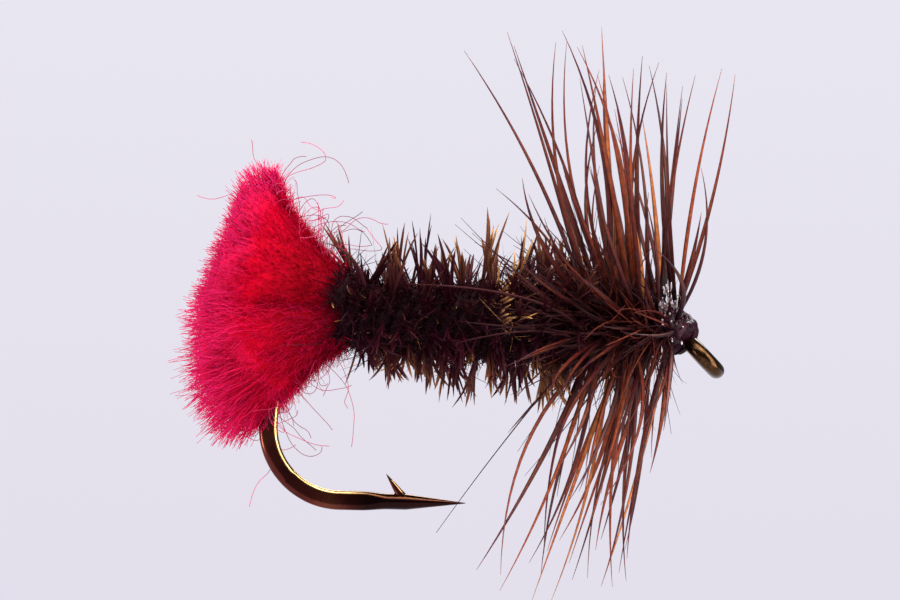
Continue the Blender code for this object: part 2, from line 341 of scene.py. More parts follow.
def herl_material():
    """Peacock herl: nearly black with a purple-brown cast; the bright flues are bronze, with gold
    highlights painted on their edges.
    """
    m = Nodes("peacock_herl_flue")
    tint = m.attribute("tint")
    # The flue's tint, which also carries painted shade and painted glints, growing brighter towards the
    # tip.
    tint_with_painted_light = m.math("MULTIPLY", tint, m.math("ADD", m.math("MULTIPLY", m.attribute("along"), 0.65), 0.35))
    blade = m.ramp(
        tint_with_painted_light,
        (0.0, rgb(38, 5, 19)),
        (0.16, rgb(56, 15, 28)),
        (0.36, rgb(84, 42, 38)),
        (0.62, rgb(136, 86, 60)),
        (0.95, rgb(230, 168, 98)),
    )
    # Painted highlight: the bright flues are painted gold along their edges.
    painted_highlight_edge = m.math("MULTIPLY", tint_with_painted_light, m.attribute("edge"))
    painted_highlight_weight = m.ramp(painted_highlight_edge, (0.36, BLACK), (0.62, rgb(220, 220, 220)))
    m.feed(m.mix(painted_highlight_weight, blade, rgb(238, 178, 106)), "Base Color")
    sheen = m.ramp(tint, (0.0, BLACK), (0.85, rgb(200, 200, 200)), (0.97, rgb(60, 60, 60)))
    m.feed(sheen, "Metallic")
    m.set(Roughness=0.36, Specular_IOR_Level=0.1)
    m.bump(m.noise(22000, 2), 0.3, 0.01)
    return m.material


def quill_material():
    """The herl's quill: matt and nearly black, so that it is a shadow between the flues."""
    m = Nodes("peacock_herl_quill")
    m.feed(m.ramp(m.noise(2500, 4), (0.3, rgb(14, 2, 8)), (0.7, rgb(40, 12, 20))), "Base Color")
    m.set(Roughness=0.7, Specular_IOR_Level=0.1)
    m.bump(m.noise(9000, 3), 0.6, 0.03)
    return m.material


def hackle_material():
    """Natural red cock hackle: glossy, translucent red-brown barbs, dark along both their edges, with
    painted shade towards their roots.
    """
    m = Nodes("red_cock_hackle_barb")
    strand = m.ramp(
        "tint",
        (0.0, rgb(34, 6, 20)),
        (0.3, rgb(84, 24, 30)),
        (0.7, rgb(180, 82, 38)),
        (1.0, rgb(255, 166, 84)),
    )
    # Painted shade: the barbs are darker towards their roots, in the dense base of the hackle.
    length = m.ramp(
        "along",
        (0.0, rgb(36, 6, 16)),
        (0.16, rgb(60, 14, 22)),
        (0.4, rgb(134, 48, 32)),
        (0.6, rgb(176, 90, 54)),
        (0.8, rgb(106, 62, 74)),
        (1.0, rgb(92, 72, 94)),
    )
    barb = m.mix(0.34, strand, length)
    rim = m.ramp("edge", (0.35, WHITE), (0.9, rgb(66, 34, 62)))
    streak = m.ramp(m.noise(5200, 2), (0.35, rgb(150, 120, 116)), (0.65, WHITE))
    # Painted shade: a further darkening right at the barbs' roots.
    base = m.ramp("along", (0.04, rgb(120, 84, 104)), (0.17, WHITE))
    barb = m.mix(1.0, m.mix(0.6, barb, streak, "MULTIPLY"), base, "MULTIPLY")
    m.feed(m.mix(0.9, barb, rim, "MULTIPLY"), "Base Color")
    m.set(Roughness=0.4, Specular_IOR_Level=0.25)
    m.set(Subsurface_Weight=0.4, Subsurface_Scale=0.15 * MM, Subsurface_Radius=(1.0, 0.4, 0.15))
    m.bump(m.noise(16000, 2), 0.25, 0.01)
    return m.material


def web_material():
    """The dark downy web at the hackle's base, matted with varnish."""
    m = Nodes("dark_hackle_web")
    strand = m.ramp("tint", (0.0, rgb(28, 4, 12)), (0.7, rgb(66, 22, 26)), (1.0, rgb(132, 62, 44)))
    m.feed(strand, "Base Color")
    m.set(Roughness=0.4, Specular_IOR_Level=0.15)
    m.bump(m.noise(16000, 2), 0.25, 0.01)
    return m.material


def thread_material():
    """Black tying thread, soaked with varnish: glossier in some places than in others."""
    m = Nodes("varnished_black_thread")
    m.feed(m.ramp(m.noise(4000, 3), (0.3, rgb(16, 2, 10)), (0.75, rgb(46, 14, 28))), "Base Color")
    m.set(Coat_Weight=0.05, Coat_Roughness=0.1, Specular_IOR_Level=0.2, Specular_Tint=VARNISH_SHINE)
    m.feed(m.math("ADD", m.math("MULTIPLY", m.noise(3000, 2), 0.4), 0.2), "Roughness")
    m.bump(m.noise(14000, 3), 0.4, 0.02)
    return m.material


def cement_material():
    """Head cement: hard gloss over purple-black thread."""
    m = Nodes("head_cement_gloss")
    m.feed(m.ramp(m.noise(2400, 3), (0.3, rgb(8, 0, 5)), (0.8, rgb(36, 7, 18))), "Base Color")
    m.set(Roughness=0.12, Coat_Weight=0.12, Coat_Roughness=0.03)
    m.set(Specular_IOR_Level=0.3, Specular_Tint=VARNISH_SHINE)
    m.bump(m.noise(5200, 3), 1.0, 0.12)
    return m.material


def painted_highlight_droplet_material():
    """Dried cement that has crept up between the barbs, painted pale in patches as its highlights."""
    m = Nodes("cement_droplet_painted_highlight")
    m.feed(m.ramp(m.noise(9000, 3), (0.42, rgb(70, 26, 34)), (0.56, rgb(240, 226, 232))), "Base Color")
    m.set(Roughness=0.08, Coat_Weight=1.0, Coat_Roughness=0.03)
    m.bump(m.noise(12000, 2), 0.6, 0.03)
    return m.material


# -------- hook

WIRE_R = 0.25
WIRE_SIDES = 48
SPEAR_STEPS, BEND_STEPS, NECK_STEPS = 60, 40, 24
EYE_R = 0.60
EYE_DROOP = np.array((math.sqrt(0.5), 0, -math.sqrt(0.5)))
EYE_DEGREES = np.arange(124, -149, -4)

BEND_CENTRE = np.array((-11.25, 0, -2.47))
BEND_R = 2.28
POINT_X = -7.32
POINT_TAPER = 1.85
POINT_SHARE = 0.05  # of the wire's thickness, left at the very point
BARB_ROOT = np.array((-9.24, 0, -4.68))
BARB_TIP = np.array((-9.82, 0, -3.88))
BARB_R = 0.17

# Forging squeezes the wire sideways and makes it taller, most of all on the low limb.
FORGED_BY = 0.05
FORGED_LIMB_ENDS = (-10.6, -9.7)
BEND_FORGED = 0.92
LIMB_TOP = BEND_CENTRE[2] - 1.6
LIMB_SQUARENESS, BEND_SQUARENESS = 2.0, 0.8

# The neck is a cubic from the straight shank to the eye's ring: its ends, and its slopes there.
NECK_START_X = -1.35
NECK_END = np.array((-0.261, 0.473, 0.261))
NECK_LEAVE = X * 1.2
NECK_ARRIVE = np.array((0.557, 0.616, -0.557))


def hook_neck(t):
    """The centre line of the wire behind the eye, from 0 to 1. Under 0 it is on the straight shank."""
    start = SHANK + X * NECK_START_X
    if t < 0:
        return start + NECK_LEAVE * t
    return (
        start * (2 * t**3 - 3 * t**2 + 1)
        + NECK_LEAVE * (t**3 - 2 * t**2 + t)
        + NECK_END * (3 * t**2 - 2 * t**3)
        + NECK_ARRIVE * (t**3 - t**2)
    )


def smooth_step(value, start, end):
    """From 0 at start to 1 at end, with soft corners."""
    t = np.clip((value - start) / (end - start), 0, 1)
    return t * t * (3 - 2 * t)


def hook_line():
    """The wire's centre line from its point, round the bend and along the shank to the eye's end."""
    quarter = np.linspace(0, np.pi / 2, BEND_STEPS)[1:, None]
    from_point = np.linspace(POINT_X - BEND_CENTRE[0], 0, SPEAR_STEPS)[:, None]
    spear = BEND_CENTRE - BEND_R * Z + X * from_point
    lower = BEND_CENTRE - BEND_R * (X * np.sin(quarter) + Z * np.cos(quarter))
    rise = SHANK_Z - BEND_CENTRE[2]
    upper = BEND_CENTRE - X * BEND_R * np.cos(quarter) + Z * rise * np.sin(quarter)
    neck = np.array([hook_neck(t) for t in np.linspace(0, 1, NECK_STEPS)])
    turn = np.radians(EYE_DEGREES)[:, None]
    eye = (EYE_DROOP * np.cos(turn) + Y * np.sin(turn)) * EYE_R
    return np.concatenate([spear, lower, upper, neck, eye])


def wire_rings(line):
    """Rings of the wire: drawn to a point, forged flat on the low limb and bend, round elsewhere."""
    along = unit(np.gradient(line, axis=0))
    x, z = line[:, 0], line[:, 2]
    on_bend = BEND_FORGED * smooth_step(BEND_CENTRE[0] - x, 0, 0.9)
    on_limb = 1 - smooth_step(x, *FORGED_LIMB_ENDS)
    forged = np.where(z > BEND_CENTRE[2] - BEND_R + WIRE_R, on_bend, on_limb)
    taper = np.where(z < BEND_CENTRE[2], np.clip((POINT_X - x) / POINT_TAPER, 0, 1), 1)
    thickness = POINT_SHARE + (1 - POINT_SHARE) * taper
    tall = (WIRE_R + FORGED_BY * forged) * thickness
    wide = (WIRE_R - FORGED_BY * forged) * thickness
    squareness = np.where(z < LIMB_TOP, LIMB_SQUARENESS, BEND_SQUARENESS) * forged
    power = 2 / (2 + squareness)
    turn = np.linspace(0, 2 * np.pi, WIRE_SIDES, endpoint=False)[:, None]
    side, rings = Y, []
    for k in range(len(line)):
        side = unit(side - along[k] * side.dot(along[k]))
        up = np.sign(np.cos(turn)) * np.abs(np.cos(turn)) ** power[k]
        out = np.sign(np.sin(turn)) * np.abs(np.sin(turn)) ** power[k]
        rings.append(line[k] + np.cross(along[k], side) * up * tall[k] + side * out * wide[k])
    return rings


def build_hook():
    """The wire drawn smooth, over its faceted CAD solid, with the barb that is cut up from the spear."""
    lean = BARB_TIP - BARB_ROOT
    turn = np.linspace(0, 2 * np.pi, 24, endpoint=False)[:, None]
    ring = np.cross(unit(lean), Y) * np.cos(turn) + Y * np.sin(turn) * 0.8
    stations = np.linspace(0, 0.99, 16)
    barb = [BARB_ROOT + lean * t + ring * BARB_R * (1 - t) ** 0.85 for t in stations]
    wire = skin("hook_wire", [wire_rings(hook_line()), barb], bronze_material())
    stands_for(wire, "bronzed_steel", "hook")


# -------- wool tag

WOOL_ROOT = np.array((-11.2, 0, SHANK_Z + 0.45))
FAN_MIDDLE = math.radians(1)
FAN_SPREAD = math.radians(57)
FAN_DEPTH = 2.2
BUTT_LENGTH, BUTT_HEIGHT, BUTT_DROP, BUTT_WIDTH = 0.6, 0.85, 0.2, 0.55
OPENING_X, OPENING_HEIGHT, OPENING_WIDTH = 1.7, 2.35, 1.3
UPPER_FIBRES = 2400
LOWER_FIBRES = 1680
FUZZ_PER_PLY = 8500
LOCKS_PER_PLY = 70
STRAYS_ABOVE, STRAYS_BELOW = 44, 36
STRAY_R = 0.012
LONGEST_STRAY = 3.6
CORE_ROWS, CORE_SIDES = 14, 32
CORE_FILL = 0.95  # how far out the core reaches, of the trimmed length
PLIES = ((True, True), (True, False), (False, True), (False, False))  # (left, upper)

# Where the tag is trimmed: (degrees above the shank's line, reach from the root).
TRIMMED_OUTLINE = ((-58, 4.8), (-47, 5.5), (-15, 4.9), (10, 4.35), (30, 4.35), (52, 5.0), (62, 4.7))


def fan_reach(angle):
    """How far the tag's trimmed end is from its root, at an angle in radians above the shank."""
    degrees, reach = zip(*TRIMMED_OUTLINE)
    return np.interp(np.degrees(angle), degrees, reach)


def wool_bend(lift, out):
    """Where a fibre starts under the herl, and the point it bends towards as the fan opens.

    lift and out are its share of the fan's height and depth, from -1 to 1.
    """
    start = WOOL_ROOT + X * BUTT_LENGTH + Z * (BUTT_HEIGHT * lift - BUTT_DROP) + Y * out * BUTT_WIDTH
    handle = WOOL_ROOT - X * OPENING_X + Z * OPENING_HEIGHT * lift + Y * out * OPENING_WIDTH
    return start, handle


def wool_paths(count, left, upper, steps=11):
    """Fibres of one ply, in loose locks, from its lashed butt to the end of its quarter of the fan."""
    lock = rng.integers(0, LOCKS_PER_PLY, count)
    height = rng.uniform(0, 1, LOCKS_PER_PLY)[lock] + rng.normal(0, 0.06, count)
    depth = rng.uniform(0, 0.85, LOCKS_PER_PLY)[lock] + rng.normal(0, 0.06, count)
    height, depth = np.clip(np.abs(height), 0, 1), np.clip(depth, 0, 1)
    rim = np.sqrt(np.maximum(0.0, 1 - height**2))
    angle = FAN_MIDDLE + (1 if upper else -1) * FAN_SPREAD * height
    out = (1 if left else -1) * depth * rim
    uneven_locks, uneven_ends, crimp = (0.03, 0.035, 0.07) if upper else (0.05, 0.06, 0.12)
    reach = fan_reach(angle) * (1 - 0.12 * (depth * rim) ** 3)
    reach *= rng.normal(0.985, uneven_locks, LOCKS_PER_PLY)[lock]
    reach *= 1 + np.minimum(rng.normal(-0.01, uneven_ends, count), 0.05)
    end = (
        WOOL_ROOT
        - X * (reach * np.cos(angle))[:, None]
        + Z * (reach * np.sin(angle))[:, None]
        + Y * (out * FAN_DEPTH * rng.normal(1.0, 0.05, count))[:, None]
    )
    start, handle = wool_bend(np.sin(angle)[:, None], out[:, None])
    shared = wander(LOCKS_PER_PLY, steps, 0.10, octaves=1)[lock]
    return curve_between(start, handle, end, steps) + shared + wander(count, steps, crimp)


def wool_fuzz(rows, count, steps=4):
    """Short fine fibres that make a ply's packed surface velvety: (paths, how far out they begin)."""
    t = 1 + rng.uniform(0, 1, count) ** 0.7 * (len(rows) - 2.001)
    k = rng.uniform(0, rows.shape[1], count)
    row, low = t.astype(int), k.astype(int) % rows.shape[1]
    high = (low + 1) % rows.shape[1]
    part, turn = (t - row)[:, None], (k % 1)[:, None]
    near = rows[row, low] * (1 - turn) + rows[row, high] * turn
    far = rows[row + 1, low] * (1 - turn) + rows[row + 1, high] * turn
    root = near * (1 - part) + far * part
    along = unit(far - near)
    outward = unit(np.cross(rows[row, high] - rows[row, low], along))
    middle = rows[row].mean(axis=1)
    outward *= np.sign((outward * (root - middle)).sum(axis=1))[:, None]
    heading = along * 0.75 + outward * rng.uniform(0, 0.45, (count, 1)) + rng.normal(0, 0.42, (count, 3))
    length = rng.uniform(0.15, 0.45, (count, 1))
    bend = rng.normal(0, 0.35, (count, 3)) * length
    paths = curve_between(root, root + heading * length * 0.5, root + heading * length + bend, steps)
    return paths, t / len(rows)


def wool_core(left, upper):
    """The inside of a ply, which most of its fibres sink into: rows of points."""
    rows = []
    for t in np.linspace(0.0, 1.0, CORE_ROWS):
        row = []
        for a in 2 * np.pi * np.arange(CORE_SIDES) / CORE_SIDES:
            across, high = np.clip((1.3 * math.sin(a), 1.3 * math.cos(a)), -1, 1)
            lift = (1 if upper else -1) * (0.5 + 0.53 * high)
            angle = FAN_MIDDLE + FAN_SPREAD * lift
            thinned = 1 - 0.3 * smooth_step(t, 0.85, 1.0)
            out = (1 if left else -1) * (0.5 + 0.5 * across) * math.sqrt(max(0.0, 1 - lift**2)) * thinned
            start, handle = wool_bend(math.sin(angle), out)
            fan = X * -math.cos(angle) + Z * math.sin(angle)
            end = WOOL_ROOT + fan * fan_reach(angle) + Y * out * FAN_DEPTH
            s = t * (CORE_FILL if upper else CORE_FILL - 0.22 * abs(lift))
            point = start * (1 - s) ** 2 + 2 * handle * s * (1 - s) + end * s**2
            lump = noise.noise(Vector(point) * 1.3) * 0.3 + noise.noise(Vector(point) * 4.0) * 0.1
            row.append(point + Y * lump * s)
        rows.append(row)
    return np.array(rows)


def loose_paths(origins, directions, lengths, steps=30):
    """Stray fibres that leave in long slow bends, with a finer wave along them."""
    count = len(origins)
    heading = unit(directions)
    points = np.empty((count, steps, 3))
    points[:, 0] = origins
    turn = rng.normal(0, 0.8, (count, 3))
    for k in range(1, steps):
        turn = 0.95 * turn + rng.normal(0, 0.26, (count, 3))
        heading = unit(heading + np.cross(turn, heading) * 0.11)
        points[:, k] = points[:, k - 1] + heading * (lengths / steps)[:, None]
    return points


def stray_wool(count, upper):
    """Paths of the loose fibres along the tag's upper or lower front edge."""
    side = FAN_MIDDLE + (1 if upper else -1) * FAN_SPREAD
    out = rng.uniform(-0.5, 0.5, (count, 1))
    start, handle = wool_bend(math.sin(side), out)
    fan = -X * math.cos(side) + Z * math.sin(side)
    end = WOOL_ROOT + fan * fan_reach(side) + Y * out * FAN_DEPTH
    origins = curve_between(start, handle, end, 60)[np.arange(count), rng.integers(14, 56, count)]
    rise = np.full(count, 1.0 if upper else -1.0)
    forward = rng.uniform(-0.3, 1.2, count)
    sideways = rng.normal(0, 0.3, count)
    directions = np.stack([forward, sideways, rise], axis=1)
    lengths = np.minimum(rng.gamma(4.0, 0.55, count), LONGEST_STRAY)
    return loose_paths(origins, directions, lengths)


def build_tag():
    """The four teased plies, each a packed core, its long fibres and its fuzz, and the stray fibres."""
    red = wool_material()
    for number, (left, upper) in enumerate(PLIES, 1):
        node = f"wool_ply_{number}"
        core = wool_core(left, upper)
        stands_for(skin(node + "_core", [core], red), "red_wool")
        paths = wool_paths(UPPER_FIBRES if upper else LOWER_FIBRES, left, upper)
        thin = np.linspace(1, 0.6, paths.shape[1])[None, :] * rng.uniform(0.012, 0.018, (len(paths), 1))
        # Painted light: the lower plies take the paler tints, which lighten their shaded underside.
        low, high = (0.0, 0.6) if upper else (0.55, 1.0)
        fibres = tubes(node + "_fibres", paths, thin, red, tints=rng.uniform(low, high, len(paths)))
        stands_for(fibres, "red_wool", node)
        short, begins = wool_fuzz(core, FUZZ_PER_PLY)
        thin = np.linspace(1, 0.5, short.shape[1])[None, :] * rng.uniform(0.009, 0.013, (len(short), 1))
        tints = rng.uniform(low, high, len(short))
        fuzz = tubes(node + "_fuzz", short, thin, red, tints=tints, begins=begins)
        stands_for(fuzz, "red_wool")

    paths = np.concatenate([stray_wool(STRAYS_ABOVE, True), stray_wool(STRAYS_BELOW, False)])
    strays = tubes("wool_strays", paths, STRAY_R, stray_material())
    stands_for(strays, "red_wool")


# -------- herl body

HERL_START, HERL_END = -11.5, -3.75
HERL_LEAD = 2.0  # how far one strand goes along the shank in a turn
HERL_TURNS = (HERL_END - HERL_START) / HERL_LEAD
HERL_STRANDS = 4
QUILL_R = 0.78  # from the shank's middle to the quill's
QUILL_THICKNESS = 0.26
QUILL_STEPS = 110
FLUE_STEPS = 8
FLUE_SHAPE = {"flatness": 0.22, "sides": 6}
SHORT_FLUES, REAR_FLUES = 1300, 160
TUFTS, FLUES_PER_TUFT = 27, 10
BUNCH_LEAD = 0.95  # from one bunch of tall tufts to the next
WISPS = 120
SWEPT_FLUE = ((-10.55, -1.0, 1.7), (-10.75, -1.1, 3.15), (-12.05, -0.9, 3.3))
# Where the painted gold glints sit: along the shank, and out from it.
PAINTED_GLINT_X = -6.1
PAINTED_GLINT_R = 1.42


def around(x, angle, radius):
    """Points about the shank, at an angle from straight up towards the fly's left."""
    x, angle, radius = np.broadcast_arrays(x, angle, radius)
    return (
        SHANK
        + x[..., None] * X
        + (np.cos(angle) * radius)[..., None] * Z
        + (np.sin(angle) * radius)[..., None] * Y
    )


def out_and_round(angle):
    """Unit vectors that point away from the shank and round it, at angles from straight up."""
    out = around(0, angle, 1.0) - SHANK
    return out, np.cross(X, out)


def body_swell(x):
    """The body's fullness: stout where it covers the wool's butt, and thicker again towards the hackle."""
    along = np.clip((x - HERL_START) / (HERL_END - HERL_START), 0, 1)
    return 0.9 + 0.24 * along + 0.32 * np.exp(-(((x - HERL_START) / 0.9) ** 2))


def body_rise(x):
    """How far the body's middle lies above the shank's: the wool's butt is tied in on top."""
    return 0.42 * np.exp(-(((x - HERL_START) / 1.1) ** 2))


def herl_turns(turn, strand):
    """The wound path of one strand's quill: points, and the angle of each about the shank."""
    x = HERL_START + HERL_LEAD * turn
    angle = 2 * np.pi * (turn + strand / HERL_STRANDS)
    return around(x, angle, QUILL_R * body_swell(x)) + body_rise(x)[:, None] * Z, angle


def flues(turn, strand, length, lean, swing, curl, width):
    """Flues that grow from one herl's wound quill, each at a turn of it: (paths, widths, facing)."""
    count = len(turn)
    root, angle = herl_turns(turn, strand)
    out, around_way = out_and_round(angle)
    heading = unit(out + X * lean[:, None] + around_way * swing[:, None])
    curl = curl * (1.5 - 0.5 * np.cos(angle))
    bend = X * (rng.normal(0, 1, count) * curl)[:, None]
    bend = bend + around_way * (rng.normal(0, 1, count) * curl)[:, None]
    length = (length * (0.85 + 0.15 * np.cos(angle)))[:, None]
    tip = root + (heading + bend) * length
    paths = curve_between(root, root + heading * length * 0.55, tip, FLUE_STEPS)
    t = np.linspace(0, 1, FLUE_STEPS)[None, :]
    widths = width[:, None] * (0.75 + 0.35 * t) * (1 - 0.92 * t**6)
    facing = unit(around_way + X * rng.normal(0, 0.5, count)[:, None])
    return paths, widths, facing


def short_flues(strand):
    """The dense inner pile, which hides the quill, with more flues that close the rear end."""
    count = SHORT_FLUES
    along_body = rng.uniform(0, HERL_TURNS, count - REAR_FLUES)
    turn = np.concatenate([along_body, rng.uniform(0, 0.5, REAR_FLUES)])
    side = np.where(rng.random(count) < 0.5, -0.45, 0.45)
    side[-REAR_FLUES:] = -0.9
    lean = side + rng.normal(0, 0.35, count)
    swing = rng.normal(0.25, 0.5, count)
    width = rng.uniform(0.015, 0.04, count)
    # About one flue in forty gets the full tint, a painted gold glint.
    tints = np.where(rng.random(count) < 0.025, 1.0, rng.beta(1.0, 4.0, count) * 0.4)
    length = rng.uniform(0.35, 0.75, count)
    return *flues(turn, strand, length, lean, swing, 0.3, width), tints


def tufts(strand):
    """The long flues, which cling together in tufts, tallest where the strands' turns bunch.

    Those at the body's sides are painted dark as shade, and those above and below it are painted brighter
    as if lit.
    """
    count, each = TUFTS, FLUES_PER_TUFT
    total = count * each
    spots = np.linspace(0.35, HERL_TURNS, count) + rng.normal(0, 0.03, count)
    turn = np.repeat(spots, each) + rng.normal(0, 0.025, total)
    lean = np.repeat(rng.normal(0.02, 0.18, count), each) + rng.normal(0, 0.05, total)
    swing = np.repeat(rng.normal(0.1, 0.18, count), each) + rng.normal(0, 0.05, total)
    tallest = np.repeat(rng.uniform(1.8, 3.0, count), each)
    bunch = 0.86 + 0.18 * np.cos(2 * np.pi * turn * HERL_LEAD / BUNCH_LEAD + 1.0)
    length = tallest * bunch * rng.uniform(0.65, 1.0, total)
    width = rng.uniform(0.035, 0.07, total)
    tints = np.repeat(rng.uniform(0.12, 0.76, count), each) + rng.uniform(-0.15, 0.25, total)
    # Painted shade: the tints fall off towards the body's sides.
    tints *= 0.3 + 0.75 * np.cos(2 * np.pi * (turn + strand / HERL_STRANDS)) ** 2
    return *flues(np.clip(turn, 0, HERL_TURNS), strand, length, lean, swing, 0.09, width), tints


def wisps(strand):
    """Hair-fine curly flues round the edge."""
    turn = rng.uniform(0, HERL_TURNS, WISPS)
    lean, swing = rng.normal(0, 0.5, (2, WISPS))
    length = rng.uniform(0.7, 1.4, WISPS)
    width = np.full(WISPS, 0.014)
    return *flues(turn, strand, length, lean, swing, 0.6, width), np.full(WISPS, 0.2)


def swept_flue():
    """The one long flue at the body's rear that arches back over the wool."""
    paths = curve_between(*np.array(SWEPT_FLUE)[:, None], FLUE_STEPS)
    widths = 0.055 * (1 - np.linspace(0, 1, FLUE_STEPS)[None] ** 2 * 0.9)
    return paths, widths, np.array([Y]), np.array([0.45])


def painted_glint_dashes():
    """Short flues that lie flat, with the full tint that paints them as gold glints, in two arcs on the
    body's right side.
    """
    arc = np.concatenate([np.linspace(0.15, 1.15, 17), np.linspace(1.3, 1.6, 6)])
    count = len(arc)
    x = PAINTED_GLINT_X + 0.12 - 0.34 * np.sin(arc * 1.3) + rng.normal(0, 0.06, count)
    root = around(x, -arc, PAINTED_GLINT_R + rng.normal(0, 0.04, count))
    out, _ = out_and_round(-arc)
    heading = X * 0.75 + Z * 0.5 + out * 0.35 + rng.normal(0, 0.12, (count, 3))
    length = rng.uniform(0.22, 0.4, (count, 1))
    tip = root + heading * length - Z * 0.03
    paths = curve_between(root, root + heading * length * 0.5, tip, FLUE_STEPS)
    widths = 0.038 * np.sin(np.linspace(0.3, 2.9, FLUE_STEPS))[None] * np.ones((count, 1))
    return paths, widths, np.tile(Y, (count, 1)), np.ones(count)


def build_body():
    """The four wound herls, each a quill and its fringe of flues, with painted gold glints on the first."""
    herl = herl_material()
    quill = quill_material()
    for strand in range(HERL_STRANDS):
        node = f"herl_strand_{strand + 1}"
        line = herl_turns(np.linspace(0, HERL_TURNS, QUILL_STEPS), strand)[0][None]
        wound = tubes(node + "_quill", line, QUILL_THICKNESS, quill, facing=X, sides=8)
        stands_for(wound, "peacock_herl", node)
        families = [family(strand) for family in (short_flues, tufts, wisps)]
        if strand == 0:
            families += [swept_flue(), painted_glint_dashes()]
        paths, widths, facing, tints = (np.concatenate(part) for part in zip(*families))
        root_x, root_z = paths[:, 0, 0], paths[:, 0, 2]
        # Painted glints: on top of the body at the glint spot, about half the flues get the full tint,
        # which paints them gold.
        gold = np.exp(-(((root_x - PAINTED_GLINT_X) / 0.3) ** 2)) * (root_z > SHANK_Z - 0.3)
        tints = np.where(rng.random(len(paths)) < 0.45 * gold, 1, np.clip(tints, 0, 0.85))
        fringe = tubes(node + "_flues", paths, widths, herl, facing, tints=tints, **FLUE_SHAPE)
        stands_for(fringe, "peacock_herl")


# -------- hackle

REAR_SPAN = (-3.6, -2.2)
FRONT_SPAN = (-2.5, -0.8)
STEM_R = 0.46  # from the shank's middle to the stem's
STEM_THICKNESS = 0.085
STEM_TURNS = 3
STEM_STEPS = 100
BARB_STEPS = 16
BARB_SHAPE = {"flatness": 0.45, "sides": 8}
SOFT_SHAPE = {"flatness": 0.5, "sides": 6}
WEB_FIBRES = 620
WEB_STEPS = 7
SOFT_BARBS = 34
FEATHERS = (  # node, span, barbs, length above, how much shorter below
    ("rear_hackle", REAR_SPAN, 60, 8.8, 0.5),
    ("front_hackle", FRONT_SPAN, 82, 7.8, 0.1),
)

# Barbs that stand alone in the photograph: root, bend and tip, with their half widths and tints.
LOOSE_BARBS = (
    ((-3.9, -0.9, 0.1), (-6.1, -1.1, -2.55), (-8.2, -1.2, -5.65)),
    ((-3.5, -0.9, 0.25), (-4.25, -2.4, 2.05), (-9.2, -1.9, 2.05)),
    ((-3.8, -1.2, 0.3), (-4.8, -2.4, 1.1), (-7.75, -1.9, 0.25)),
)
LOOSE_WIDTHS = (0.03, 0.075, 0.06)
LOOSE_TINTS = (0.1, 0.6, 0.5)


def barb_set(span, count, top_length, dip):
    """One feather's barbs, in order along its wound stem: (paths, widths, facing, tints).

    They lean back at the hackle's rear and are nearly upright at its front. Those at the sides
    lean back more and are shorter, there are fewer below, and about a third are cut short.
    """
    turn = np.linspace(0, STEM_TURNS, count) + rng.normal(0, 0.03, count)
    angle = 2 * np.pi * turn
    turn = turn[(np.cos(angle) > -0.3) | (rng.random(count) < 0.72)]
    count = len(turn)
    x = span[0] + (span[1] - span[0]) * turn / STEM_TURNS
    angle = 2 * np.pi * turn
    angle = angle - 0.3 * np.sin(2 * angle)
    forward = (x - REAR_SPAN[0]) / (FRONT_SPAN[1] - REAR_SPAN[0])
    under = (1 - np.cos(angle)) / 2
    sideways = np.abs(np.sin(angle)) ** 4
    upright = -19 + (23 - 9 * under) * forward + np.clip(rng.normal(0, 6.0, count), -8, 8)
    lean = np.radians(upright - (30 - 14 * forward) * sideways * (1 - 0.85 * under))
    out, around_way = out_and_round(angle)
    length = top_length - dip * under + np.clip(rng.normal(0, 0.3, count), -1, 0.3)
    length = np.where(rng.random(count) < 0.35, length * rng.uniform(0.4, 0.92, count), length)
    length *= 1 - 0.3 * sideways
    swing = rng.normal(0, 0.08, count)[:, None] * around_way
    heading = unit(out * np.cos(lean)[:, None] + X * np.sin(lean)[:, None] + swing)
    eased = lean + np.radians(rng.normal(0, 11.0, count))
    begin = out * np.cos(eased)[:, None] + X * np.sin(eased)[:, None] + swing * 0.3
    root = around(x, angle, STEM_R)
    length = length[:, None]
    paths = curve_between(root, root + begin * length * 0.5, root + heading * length, BARB_STEPS)
    t = np.linspace(0, 1, BARB_STEPS)[None, :]
    swell = 0.6 + 0.4 * np.minimum(t / 0.3, 1)
    widths = rng.uniform(0.07, 0.125, (count, 1)) * swell * (1 - t**1.4) + 0.006
    facing = unit(around_way + X * rng.normal(0, 0.4, count)[:, None])
    # Painted shade: barbs at the hackle's sides get darker tints.
    tints = rng.beta(0.9, 1.3, count) * (0.98 - 0.85 * np.sin(angle) ** 2)
    return paths, widths, facing, tints


def soft_barbs(count, left):
    """Soft barbs from the feather's base, swept back along one side of the body: (paths, widths)."""
    side = 1 if left else -1
    angle = side * rng.uniform(0.5, 2.1, count)
    root = around(rng.uniform(-3.9, -2.2, count), angle, STEM_R)
    out, _ = out_and_round(angle)
    length = rng.uniform(1.6, 4.2, count)[:, None]
    handle = root + out * rng.uniform(1.0, 1.6, (count, 1)) - X * length * 0.35
    end = root + out * rng.uniform(1.1, 2.0, (count, 1)) - X * length
    end += Z * rng.normal(0.6, 0.7, (count, 1)) * length * 0.5
    paths = curve_between(root, handle, end, BARB_STEPS)
    t = np.linspace(0, 1, BARB_STEPS)[None, :]
    swell = 0.6 + 0.4 * np.sin(np.pi * t)
    widths = rng.uniform(0.03, 0.06, (count, 1)) * swell * (1 - t**2) + 0.006
    return paths, widths


